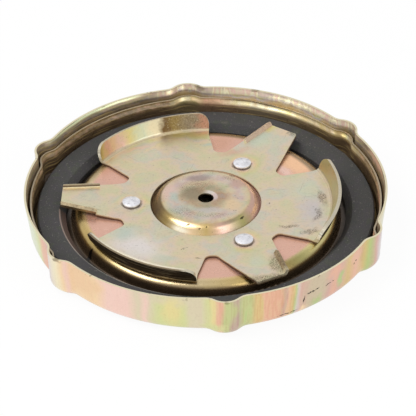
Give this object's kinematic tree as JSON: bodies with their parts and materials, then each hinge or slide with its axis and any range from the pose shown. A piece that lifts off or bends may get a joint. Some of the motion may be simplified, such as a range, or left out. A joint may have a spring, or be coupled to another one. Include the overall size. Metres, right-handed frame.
{
  "type": "fuel tank cap",
  "caption": "Vented bayonet cap for a fuel tank's filler neck: nested pressed steel cups with grip lobes, a rubber gasket, and a riveted locking plate with arms and guide flanges.",
  "frame": {"origin": "middle of the outer face, on the cap's axis: the cap lies on that face, with the side that goes into the tank up", "axes": "+Z along the cap's axis, into the tank; +X towards the guide flange opposite the arm and rivet on -X; +Y to the picture's rear"},
  "size_m": [0.1056, 0.1088, 0.0133],
  "materials": {
    "cover_zinc": "pressed steel, zinc plated and yellow passivated, iridescent",
    "cup_zinc": "pressed steel, zinc plated and yellow passivated, iridescent",
    "plate_zinc": "blanked and bent steel, zinc plated and yellow passivated, scuffed",
    "rivet_steel": "bright, formed head",
    "gasket_rubber": "matt, slightly dusty",
    "filter_felt": "felt"
  },
  "bodies": {
    "root": {"outer_cover": "cover_zinc", "inner_cup": "cup_zinc", "gasket": "gasket_rubber", "bayonet_plate": "plate_zinc", "rivet_left": "rivet_steel", "rivet_rear": "rivet_steel", "rivet_front": "rivet_steel", "baffle_plate": "cup_zinc", "vent_filter": "filter_felt"}
  },
  "joints": []
}
